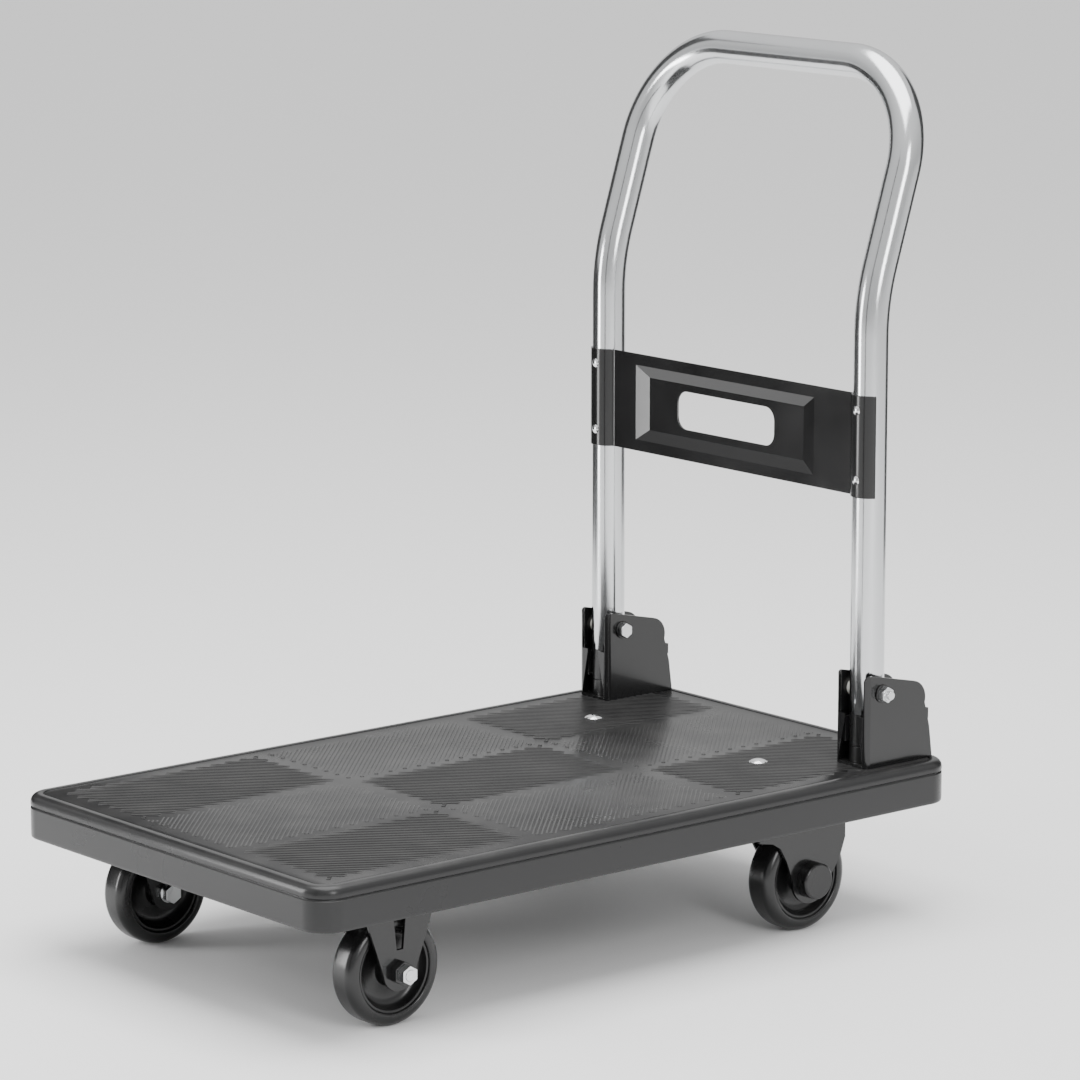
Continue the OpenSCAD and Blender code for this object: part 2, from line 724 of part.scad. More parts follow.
module swivel_balls(side) color(chrome) translate([side * caster_x, swivel_y, race_z])
    for (i = [0 : 17]) rotate([0, 0, 20 * i]) translate([race_r, 0, 0]) sphere(ball_r, $fn = 24);

module kingpin(side) color(zinc) translate([side * caster_x, swivel_y, 0]) {
    translate([0, 0, crown_z - 3.5]) cylinder(r = 9, h = 3.5);
    translate([0, 0, crown_z - 1]) cylinder(r = pin_bore - fit, h = front_mount_z - crown_z + 0.9);
    translate([0, 0, front_mount_z - sink])
        cylinder(r1 = pin_bore - fit, r2 = pin_bore - fit + sink - 0.1, h = sink - 0.1);
}

// Places children at a wheel, +Z along its axle
module at_wheel(s, y) translate([s * caster_x, y, wheel_r]) rotate([0, 90, 0]) children();

module tyre(s, y) color(plastic_black) at_wheel(s, y) rotate_extrude() {
    shoulder = 8;
    difference() {
        union() {
            translate([core_r, -tyre_w / 2]) square([12 - shoulder, tyre_w]);
            translate([core_r, -tyre_w / 2 + shoulder]) square([12, tyre_w - 2 * shoulder]);
            for (e = sides) translate([wheel_r - shoulder, e * (tyre_w / 2 - shoulder)]) circle(shoulder);
        }
        translate([0, -tyre_w]) square([core_r, 2 * tyre_w]);
    }
}

module wheel_core(s, y) color(plastic_black) at_wheel(s, y) {
    rotate_extrude() {
        translate([bush_r, -hub_half + 1.5]) square([hub_r - bush_r, 2 * hub_half - 3]);
        translate([bush_r, -3]) square([core_r - bush_r, 6]);
        translate([core_r - 5, -tyre_w / 2 + 2]) square([5, tyre_w - 4]);
    }
    for (i = [0 : 5]) rotate([0, 0, 60 * i]) translate([hub_r - 1, -1.5, -9])
        cube([core_r - hub_r - 3, 3, 18]);
}

module wheel_bush(s, y) color(zinc) at_wheel(s, y) difference() {
    union() {
        cylinder(r = bush_r, h = 2 * hub_half, center = true);
        for (e = sides) translate([0, 0, e * (hub_half - 0.75)])
            cylinder(r = bush_r + 2, h = 1.5, center = true);
    }
    cylinder(r = axle_r + fit, h = 3 * hub_half, center = true);
}

// Places children at an axle, +Z outward
module at_axle(s, y) translate([s * caster_x, y, wheel_r]) outward(s) children();

// Axle bolt with a flanged head on the inner side; it ends a reach outside the fork
module axle(s, y, reach) at_axle(s, y) rotate([180, 0, 0]) translate([0, 0, fork_out]) {
    translate([0, 0, 1.5]) hex_bolt(axle_r, 16, 7, 2 * fork_out + 1.5 + reach - blind);
    cylinder(r = 9.5, h = 1.5 + eps);
}

module axles_front() color(zinc) for (s = sides) axle(s, axle_y, 16.5);

// Black hexagons under the front casters' lock nuts
module axle_spacers_front() color(steel_black) for (s = sides) at_axle(s, axle_y)
    translate([0, 0, fork_out]) hex_nut(axle_r + eps, 19, spacer_h);

module axle_nuts_front() color(zinc) for (s = sides) at_axle(s, axle_y)
    translate([0, 0, fork_out + spacer_h]) hex_nut(axle_r + eps, 15, nut_h);

module axle_rear(s) color(zinc) axle(s, rear_y, nut_h + 1);

module axle_nut_rear(s) color(zinc) at_axle(s, rear_y) translate([0, 0, fork_out])
    hex_nut(axle_r + eps, 15, nut_h);

// Round covers over the swivel casters' axle ends
module hub_caps(s) color(plastic_black) for (e = sides) translate([s * caster_x, rear_y, wheel_r]) outward(e)
    translate([0, 0, fork_out]) difference() {
        union() {
            cylinder(r = cap_r, h = cap_h - 1.5);
            translate([0, 0, cap_h - 1.5]) cylinder(r1 = cap_r, r2 = cap_r - 1.5, h = 1.5);
        }
        translate([0, 0, -blind]) cylinder(r = cap_r - 2.5, h = cap_h - 1.5 + blind);
    }

deck();
backing_plate(-1);  // backing_plate_left
backing_plate(1);  // backing_plate_right
deck_bolts();
deck_nuts();
caster_inserts();
caster_bolts();
bracket(-1);  // bracket_left
bracket(1);  // bracket_right
bracket_bolts();
tube_rests();
pivot_bolts();
pivot_nuts();
pivot_washers();
pivot_spacers();
lock_lever(-1);  // lock_lever_left
lock_lever(1);  // lock_lever_right
lock_pins();
lock_spring(-1);  // lock_spring_left
lock_spring(1);  // lock_spring_right
handle_tube();
tube_foot(-1);  // tube_foot_left
tube_foot(1);  // tube_foot_right
handle_panel();
panel_rivets();
rigid_fork(-1);  // rigid_fork_left
rigid_fork(1);  // rigid_fork_right
swivel_plate(-1);  // swivel_plate_left
swivel_plate(1);  // swivel_plate_right
swivel_fork(-1);  // swivel_fork_left
swivel_fork(1);  // swivel_fork_right
swivel_balls(-1);  // swivel_balls_left
swivel_balls(1);  // swivel_balls_right
kingpin(-1);  // kingpin_left
kingpin(1);  // kingpin_right
tyre(-1, axle_y);  // tyre_front_left
tyre(1, axle_y);  // tyre_front_right
tyre(-1, rear_y);  // tyre_rear_left
tyre(1, rear_y);  // tyre_rear_right
wheel_core(-1, axle_y);  // wheel_core_front_left
wheel_core(1, axle_y);  // wheel_core_front_right
wheel_core(-1, rear_y);  // wheel_core_rear_left
wheel_core(1, rear_y);  // wheel_core_rear_right
wheel_bush(-1, axle_y);  // wheel_bush_front_left
wheel_bush(1, axle_y);  // wheel_bush_front_right
wheel_bush(-1, rear_y);  // wheel_bush_rear_left
wheel_bush(1, rear_y);  // wheel_bush_rear_right
axles_front();
axle_spacers_front();
axle_nuts_front();
axle_rear(-1);  // axle_rear_left
axle_rear(1);  // axle_rear_right
axle_nut_rear(-1);  // axle_nut_rear_left
axle_nut_rear(1);  // axle_nut_rear_right
hub_caps(-1);  // hub_caps_left
hub_caps(1);  // hub_caps_right
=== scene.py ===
"""Folding platform cart: its pieces, smooth and dressed, with a studio around them."""

import json
import logging
import math
from dataclasses import dataclass, field
from enum import Enum
from typing import Iterable, Sequence

import bmesh
import bpy
import numpy as np
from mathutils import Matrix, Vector

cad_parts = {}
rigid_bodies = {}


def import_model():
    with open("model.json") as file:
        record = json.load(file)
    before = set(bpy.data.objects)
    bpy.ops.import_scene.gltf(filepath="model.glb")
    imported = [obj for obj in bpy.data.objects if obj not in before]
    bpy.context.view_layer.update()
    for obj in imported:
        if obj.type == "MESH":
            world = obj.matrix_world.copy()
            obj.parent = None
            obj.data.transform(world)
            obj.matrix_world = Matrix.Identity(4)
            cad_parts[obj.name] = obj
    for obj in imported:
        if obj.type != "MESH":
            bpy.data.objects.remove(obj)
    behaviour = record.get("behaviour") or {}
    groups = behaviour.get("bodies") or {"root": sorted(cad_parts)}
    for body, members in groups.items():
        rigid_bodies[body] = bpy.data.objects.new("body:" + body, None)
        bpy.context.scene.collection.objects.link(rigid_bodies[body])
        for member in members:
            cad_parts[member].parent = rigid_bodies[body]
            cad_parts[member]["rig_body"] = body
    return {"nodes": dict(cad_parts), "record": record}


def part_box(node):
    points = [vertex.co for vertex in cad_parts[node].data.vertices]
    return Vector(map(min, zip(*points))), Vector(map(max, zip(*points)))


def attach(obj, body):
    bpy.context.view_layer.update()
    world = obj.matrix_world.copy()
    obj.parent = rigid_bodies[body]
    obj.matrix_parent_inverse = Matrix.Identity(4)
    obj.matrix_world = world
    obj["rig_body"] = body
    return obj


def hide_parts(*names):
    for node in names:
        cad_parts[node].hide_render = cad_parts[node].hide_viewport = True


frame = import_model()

LOG = logging.getLogger("platform_cart")
WELD = 1e-6
CAD_WELD = 2e-6
HALF_DIAGONAL = math.sqrt(0.5)  # of a unit square
Point = tuple[float, float, float]
Loop = list[tuple[float, float]]
Skin = tuple[list[Point], list]


# ---------------------------------------------------------------- node trees


class Canvas:
    """A node tree with short calls for adding and wiring nodes."""

    def __init__(self, tree: bpy.types.NodeTree) -> None:
        """Wraps a tree.

        Args:
            tree: the tree that the nodes go in.
        """
        self.tree = tree

    def add(self, kind: str, inputs: dict | None = None, **settings: object) -> bpy.types.Node:
        """Adds a node, sets its properties, and fills or links its inputs.

        Args:
            kind: the node's bl_idname.
            inputs: socket name or index to a value or an output socket.
            settings: properties of the node.

        Returns:
            The new node.
        """
        node = self.tree.nodes.new(kind)
        for name, value in settings.items():
            setattr(node, name, value)
        for key, value in (inputs or {}).items():
            socket = node.inputs[key]
            if isinstance(value, bpy.types.NodeSocket):
                self.tree.links.new(value, socket)
            else:
                socket.default_value = value
        return node

    def link(self, start: bpy.types.NodeSocket, end: bpy.types.NodeSocket) -> None:
        """Links two sockets."""
        self.tree.links.new(start, end)


def make_group(name: str, kind: str,
               sockets: Iterable[tuple]) -> tuple[Canvas, bpy.types.Node, bpy.types.Node]:
    """Makes an empty node group with its interface.

    Args:
        name: name of the group.
        kind: ShaderNodeTree or GeometryNodeTree.
        sockets: (name, INPUT or OUTPUT, socket type, default or None) for each socket.

    Returns:
        The canvas, the group's input node and its output node.
    """
    tree = bpy.data.node_groups.new(name, kind)
    for label, side, socket_type, default in sockets:
        socket = tree.interface.new_socket(name=label, in_out=side, socket_type=socket_type)
        if default is not None:
            socket.default_value = default
    canvas = Canvas(tree)
    return canvas, canvas.add("NodeGroupInput"), canvas.add("NodeGroupOutput")


def grain_group() -> bpy.types.NodeTree:
    """Builds the shared surface grain: a fine, a broad and a drawn-out noise over the surface.

    Returns:
        A shader group with Fine, Broad and Streak values.
    """
    canvas, source, sink = make_group("surface_grain", "ShaderNodeTree", [
        ("Fine Scale", "INPUT", "NodeSocketFloat", 900.0),
        ("Broad Scale", "INPUT", "NodeSocketFloat", 14.0),
        ("Stretch", "INPUT", "NodeSocketVector", (1.0, 1.0, 1.0)),
        ("Fine", "OUTPUT", "NodeSocketFloat", None),
        ("Broad", "OUTPUT", "NodeSocketFloat", None),
        ("Streak", "OUTPUT", "NodeSocketFloat", None),
    ])
    where = canvas.add("ShaderNodeTexCoord").outputs["Object"]
    stretched = canvas.add("ShaderNodeVectorMath", {
        0: where, 1: source.outputs["Stretch"]}, operation="MULTIPLY")
    fine = canvas.add("ShaderNodeTexNoise", {
        "Vector": where, "Scale": source.outputs["Fine Scale"], "Detail": 3.0})
    broad = canvas.add("ShaderNodeTexNoise", {
        "Vector": where, "Scale": source.outputs["Broad Scale"], "Detail": 4.0})
    streak = canvas.add("ShaderNodeTexNoise", {
        "Vector": stretched.outputs[0], "Scale": source.outputs["Fine Scale"], "Detail": 2.0})
    canvas.link(fine.outputs["Fac"], sink.inputs["Fine"])
    canvas.link(broad.outputs["Fac"], sink.inputs["Broad"])
    canvas.link(streak.outputs["Fac"], sink.inputs["Streak"])
    return canvas.tree


def dust_group() -> bpy.types.NodeTree:
    """Builds the shared dust: a thin film that settles on faces that look up.

    Returns:
        A shader group with a Mask value.
    """
    canvas, source, sink = make_group("settled_dust", "ShaderNodeTree", [
        ("Amount", "INPUT", "NodeSocketFloat", 0.1),
        ("Scale", "INPUT", "NodeSocketFloat", 30.0),
        ("Mask", "OUTPUT", "NodeSocketFloat", None),
    ])
    where = canvas.add("ShaderNodeTexCoord").outputs["Object"]
    up = canvas.add("ShaderNodeSeparateXYZ", {0: canvas.add("ShaderNodeNewGeometry").outputs["Normal"]})
    facing = canvas.add("ShaderNodeMapRange", {
        "Value": up.outputs["Z"], "From Min": 0.55, "From Max": 1.0})
    spots = canvas.add("ShaderNodeTexNoise", {
        "Vector": where, "Scale": source.outputs["Scale"], "Detail": 6.0})
    patch = canvas.add("ShaderNodeMapRange", {
        "Value": spots.outputs["Fac"], "From Min": 0.4, "From Max": 0.75})
    both = canvas.add("ShaderNodeMath", {
        0: facing.outputs[0], 1: patch.outputs[0]}, operation="MULTIPLY")
    mask = canvas.add("ShaderNodeMath", {
        0: both.outputs[0], 1: source.outputs["Amount"]}, operation="MULTIPLY")
    canvas.link(mask.outputs[0], sink.inputs["Mask"])
    return canvas.tree


# ---------------------------------------------------------------- finishes


DUST = (0.42, 0.41, 0.39, 1.0)
LEAST_ROUGHNESS = 0.02


@dataclass(frozen=True)
class Finish:
    """A surface finish, from its colours to its grain; grain_depth is in metres."""

    name: str
    dark: tuple[float, float, float]
    light: tuple[float, float, float]
    roughness: float
    roughness_swing: float = 0.06
    metallic: float = 0.0
    coat: float = 0.0
    coat_roughness: float = 0.08
    specular: float = 0.5
    grain: float = 0.15
    grain_depth: float = 0.00012
    fine_scale: float = 900.0
    broad_scale: float = 14.0
    streaks: bool = False
    stretch: tuple[float, float, float] = (1.0, 1.0, 1.0)
    dust: float = 0.04

    def build(self, groups: dict[str, bpy.types.NodeTree]) -> bpy.types.Material:
        """Builds the finish as a node material.

        Args:
            groups: the shared shader groups by name.

        Returns:
            The material.
        """
        material = bpy.data.materials.new(self.name)
        material.use_nodes = True
        canvas = Canvas(material.node_tree)
        shader = material.node_tree.nodes["Principled BSDF"]
        grain = canvas.add("ShaderNodeGroup", node_tree=groups["grain"])
        grain.inputs["Fine Scale"].default_value = self.fine_scale
        grain.inputs["Broad Scale"].default_value = self.broad_scale
        grain.inputs["Stretch"].default_value = self.stretch
        dust = canvas.add("ShaderNodeGroup", node_tree=groups["dust"])
        dust.inputs["Amount"].default_value = self.dust
        tone = canvas.add("ShaderNodeMix", {
            0: grain.outputs["Broad"], 6: (*self.dark, 1.0), 7: (*self.light, 1.0)}, data_type="RGBA")
        dusty = canvas.add("ShaderNodeMix", {
            0: dust.outputs["Mask"], 6: tone.outputs[2], 7: DUST}, data_type="RGBA")
        rough = canvas.add("ShaderNodeMapRange", {
            "Value": grain.outputs["Streak" if self.streaks else "Broad"],
            "From Min": 0.3, "From Max": 0.7,
            "To Min": max(LEAST_ROUGHNESS, self.roughness - self.roughness_swing),
            "To Max": self.roughness + self.roughness_swing})
        bump = canvas.add("ShaderNodeBump", {
            "Strength": self.grain, "Distance": self.grain_depth,
            "Height": grain.outputs["Streak" if self.streaks else "Fine"]})
        canvas.link(dusty.outputs[2], shader.inputs["Base Color"])
        canvas.link(rough.outputs[0], shader.inputs["Roughness"])
        canvas.link(bump.outputs[0], shader.inputs["Normal"])
        shader.inputs["Metallic"].default_value = self.metallic
        shader.inputs["Coat Weight"].default_value = self.coat
        shader.inputs["Coat Roughness"].default_value = self.coat_roughness
        shader.inputs["Specular IOR Level"].default_value = self.specular
        return material


class Look(Enum):
    """The cart's finishes, by the record's material slot."""

    DECK = Finish("deck_plastic", (0.012, 0.012, 0.0124), (0.016, 0.016, 0.0164), 0.29, 0.03,
                  specular=0.38, grain=0.25, grain_depth=0.00006, fine_scale=1400.0)
    # Painted shade: the tread's dark cells and dots get a base about four times darker than the deck's,
    # in place of the darker reflection that their ribs pick up.
    TREAD = Finish("deck_tread_dark", (0.003, 0.003, 0.0031), (0.0045, 0.0045, 0.0046), 0.36, 0.04,
                   specular=0.35, grain=0.3, grain_depth=0.00006, fine_scale=1600.0)
    TUBE = Finish("chrome_tube", (0.60, 0.61, 0.62), (0.66, 0.67, 0.68), 0.17, 0.03,
                  metallic=1.0, grain=0.03, grain_depth=0.00003, streaks=True,
                  stretch=(1.0, 1.0, 0.02), dust=0.0)
    CHROME = Finish("chrome_fastener", (0.78, 0.79, 0.80), (0.88, 0.88, 0.89), 0.12, 0.05,
                    metallic=1.0, grain=0.04, dust=0.02)
    ZINC = Finish("zinc_steel", (0.58, 0.59, 0.60), (0.74, 0.75, 0.75), 0.27, 0.08,
                  metallic=1.0, grain=0.12, fine_scale=500.0, broad_scale=60.0)
    ENAMEL = Finish("black_enamel", (0.0045, 0.0045, 0.0047), (0.007, 0.007, 0.0072), 0.22, 0.04,
                    coat=0.3, specular=0.4, grain=0.12, grain_depth=0.0001, fine_scale=350.0)
    PLASTIC = Finish("black_plastic", (0.005, 0.005, 0.0052), (0.008, 0.008, 0.0082), 0.28, 0.05,
                     grain=0.15)
    TYRE = Finish("tyre", (0.005, 0.005, 0.0052), (0.009, 0.009, 0.0092), 0.25, 0.05, grain=0.1,
                  fine_scale=500.0, dust=0.06)
    NYLON = Finish("nylon", (0.72, 0.71, 0.66), (0.80, 0.79, 0.74), 0.45, grain=0.1)
    BRASS = Finish("insert_brass", (0.50, 0.36, 0.13), (0.62, 0.47, 0.2), 0.3, 0.08, metallic=1.0,
                   streaks=True)


class Wardrobe:
    """Builds each finish once and dresses pieces in it."""

    def __init__(self) -> None:
        """Builds the shared groups and reads each CAD node's slot."""
        self.groups = {"grain": grain_group(), "dust": dust_group()}
        self.made: dict[Look, bpy.types.Material] = {}
        self.slots: dict[str, str] = {
            row["node"]: row["material_slot"] for row in frame["record"]["subparts"]}

    def material(self, look: Look) -> bpy.types.Material:
        """Gives the material of a look, made at first use.

        Args:
            look: the finish that is asked for.

        Returns:
            The one material of that finish.
        """
        if look not in self.made:
            self.made[look] = look.value.build(self.groups)
        return self.made[look]

    def look_of(self, node: str) -> Look:
        """Gives the look of a CAD node, from its slot in the record."""
        return next(look for look in Look if look.value.name == self.slots[node])


# ---------------------------------------------------------------- meshes


def new_object(name: str, verts: Sequence, faces: Sequence, material: bpy.types.Material,
               sharp_deg: float = 32.0) -> bpy.types.Object:
    """Makes a closed, smooth-shaded mesh object at the origin.

    Args:
        name: the piece's name.
        verts: points in metres.
        faces: vertex indices of each face.
        material: the piece's finish.
        sharp_deg: edges above this angle stay sharp.

    Returns:
        The object.
    """
    mesh = bpy.data.meshes.new(name)
    mesh.from_pydata([tuple(v) for v in verts], [], [tuple(f) for f in faces])
    body = bmesh.new()
    body.from_mesh(mesh)
    bmesh.ops.remove_doubles(body, verts=body.verts, dist=WELD)
    bmesh.ops.recalc_face_normals(body, faces=body.faces)
    body.to_mesh(mesh)
    body.free()
    mesh.materials.append(material)
    smooth(mesh, sharp_deg)
    piece = bpy.data.objects.new(name, mesh)
    bpy.context.scene.collection.objects.link(piece)
    return piece


def smooth(mesh: bpy.types.Mesh, sharp_deg: float) -> None:
    """Shades a mesh smooth, with edges above an angle left sharp."""
    mesh.shade_smooth()
    mesh.set_sharp_from_angle(angle=math.radians(sharp_deg))


def settle(piece: bpy.types.Object) -> bpy.types.Object:
    """Turns a piece's modifiers into plain mesh and removes them.

    Args:
        piece: an object with modifiers.

    Returns:
        The same object, without modifiers.
    """
    graph = bpy.context.evaluated_depsgraph_get()
    graph.update()
    mesh = bpy.data.meshes.new_from_object(piece.evaluated_get(graph))
    old = piece.data
    piece.modifiers.clear()
    piece.data = mesh
    bpy.data.meshes.remove(old)
    mesh.name = piece.name
    return piece


def hand_over(piece: bpy.types.Object, body: str, slot: str, *nodes: str) -> None:
    """Tells the frame which body a piece rides on, and hides the CAD nodes that it stands for.

    Args:
        piece: the finished piece, without modifiers.
        body: the body of the part that carries it.
        slot: the record's material slot; not used.
        nodes: the CAD nodes that it replaces, if any.
    """
    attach(piece, body)
    if nodes:
        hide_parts(*nodes)
    LOG.info("%s rides on %s, %d faces", piece.name, body, len(piece.data.polygons))


def arc(cx: float, cy: float, r: float, start: float, end: float, steps: int) -> Loop:
    """Points of an arc in degrees, both ends included."""
    angles = np.radians(np.linspace(start, end, steps + 1))
    return [(cx + r * math.cos(a), cy + r * math.sin(a)) for a in angles]


def round_rect(wide: float, long: float, r: float, steps: int = 14) -> Loop:
    """Outline of a rectangle with round corners about the origin, counter-clockwise.

    Args:
        wide: width along the first axis.
        long: length along the second axis.
        r: radius of the corners.
        steps: steps round each corner.

    Returns:
        The points.
    """
    corners = ((1, 1, 0), (-1, 1, 90), (-1, -1, 180), (1, -1, 270))
    points: Loop = []
    for sx, sy, start in corners:
        points += arc(sx * (wide / 2 - r), sy * (long / 2 - r), r, start, start + 90, steps)
    return points


def loft(rings: Sequence[Sequence[Point]], closed: bool = False) -> Skin:
    """Joins rings of equal length into a skin.

    Args:
        rings: each ring's points in order.
        closed: joins the last ring to the first; otherwise each end gets a face.

    Returns:
        The points and the faces.
    """
    n = len(rings[0])
    verts = [p for ring in rings for p in ring]
    faces: list = []
    count = len(rings)
    for i in range(count if closed else count - 1):
        a, b = i * n, ((i + 1) % count) * n
        faces += [(a + k, a + (k + 1) % n, b + (k + 1) % n, b + k) for k in range(n)]
    if not closed:
        faces += [tuple(range(n))[::-1], tuple(range((count - 1) * n, count * n))]
    return verts, faces


def lathe(profile: Loop, centre: Point, segments: int) -> Skin:
    """Turns a closed profile of (radius, along) about an axis along X.

    Args:
        profile: the section's outline.
        centre: a point on the axis.
        segments: steps round the axis.

    Returns:
        The points and the faces.
    """
    cx, cy, cz = centre
    turns = [2 * math.pi * k / segments for k in range(segments)]
    rings = [[(cx + x, cy + r * math.sin(t), cz + r * math.cos(t)) for t in turns]
             for r, x in profile]
    return loft(rings, closed=True)


# ---------------------------------------------------------------- repeated bars and studs


@dataclass(frozen=True)
class Bar:
    """One bar or stud: its middle at its foot, its size and its turn about Z in radians."""

    at: Point
    size: tuple[float, float, float]
    turn: float = 0.0


class BarField:
    """Instances a small frustum on points, each with its own size and turn."""

    def __init__(self) -> None:
        """Builds the node tree."""
        canvas, source, sink = make_group("bars_on_points", "GeometryNodeTree", [
            ("Geometry", "INPUT", "NodeSocketGeometry", None),
            ("Sides", "INPUT", "NodeSocketInt", 4),
            ("Foot Radius", "INPUT", "NodeSocketFloat", 0.5),
            ("Top Radius", "INPUT", "NodeSocketFloat", 0.4),
            ("Start Turn", "INPUT", "NodeSocketFloat", 0.0),
            ("Material", "INPUT", "NodeSocketMaterial", None),
            ("Geometry", "OUTPUT", "NodeSocketGeometry", None),
        ])
        stud = canvas.add("GeometryNodeMeshCone", {
            "Vertices": source.outputs["Sides"], "Radius Top": source.outputs["Top Radius"],
            "Radius Bottom": source.outputs["Foot Radius"], "Depth": 1.0})
        turned = canvas.add("ShaderNodeCombineXYZ", {"Z": source.outputs["Start Turn"]})
        shaped = canvas.add("GeometryNodeTransform", {
            "Geometry": stud.outputs["Mesh"], "Rotation": turned.outputs[0]})
        size = canvas.add("GeometryNodeInputNamedAttribute", {"Name": "size"}, data_type="FLOAT_VECTOR")
        turn = canvas.add("GeometryNodeInputNamedAttribute", {"Name": "turn"}, data_type="FLOAT")
        about_z = canvas.add("ShaderNodeCombineXYZ", {"Z": turn.outputs["Attribute"]})
        points = canvas.add("GeometryNodeMeshToPoints", {"Mesh": source.outputs["Geometry"]})
        placed = canvas.add("GeometryNodeInstanceOnPoints", {
            "Points": points.outputs[0], "Instance": shaped.outputs[0],
            "Rotation": about_z.outputs[0], "Scale": size.outputs["Attribute"]})
        real = canvas.add("GeometryNodeRealizeInstances", {"Geometry": placed.outputs[0]})
        dressed = canvas.add("GeometryNodeSetMaterial", {
            "Geometry": real.outputs[0], "Material": source.outputs["Material"]})
        canvas.link(dressed.outputs[0], sink.inputs["Geometry"])
        self.tree = canvas.tree

    def lay(self, name: str, bars: Sequence[Bar], material: bpy.types.Material, sides: int = 4,
            taper: float = 0.8, sharp_deg: float = 32.0) -> bpy.types.Object:
        """Lays bars or studs as one mesh.

        Args:
            name: the piece's name.
            bars: the bars, in metres.
            material: their finish.
            sides: 4 for bars, more for round studs.
            taper: width of the top over that of the foot.
            sharp_deg: edges above this angle stay sharp.

        Returns:
            The piece, as plain mesh.
        """
        mesh = bpy.data.meshes.new(name)
        mesh.from_pydata([b.at for b in bars], [], [])
        mesh.attributes.new("size", "FLOAT_VECTOR", "POINT").data.foreach_set(
            "vector", np.array([b.size for b in bars], float).ravel())
        mesh.attributes.new("turn", "FLOAT", "POINT").data.foreach_set("value", [b.turn for b in bars])
        piece = bpy.data.objects.new(name, mesh)
        bpy.context.scene.collection.objects.link(piece)
        modifier = piece.modifiers.new("bars", "NODES")
        modifier.node_group = self.tree
        square = sides == 4
        foot = HALF_DIAGONAL if square else 0.5
        values = {"Sides": sides, "Foot Radius": foot, "Top Radius": foot * taper,
                  "Start Turn": math.pi / 4 if square else 0.0, "Material": material}
        for item in self.tree.interface.items_tree:
            if item.item_type == "SOCKET" and item.in_out == "INPUT" and item.name in values:
                modifier[item.identifier] = values[item.name]
        settle(piece)
        for name_of_value in ("size", "turn"):
            found = piece.data.attributes.get(name_of_value)
            if found:
                piece.data.attributes.remove(found)
        smooth(piece.data, sharp_deg)
        return piece


# ---------------------------------------------------------------- deck


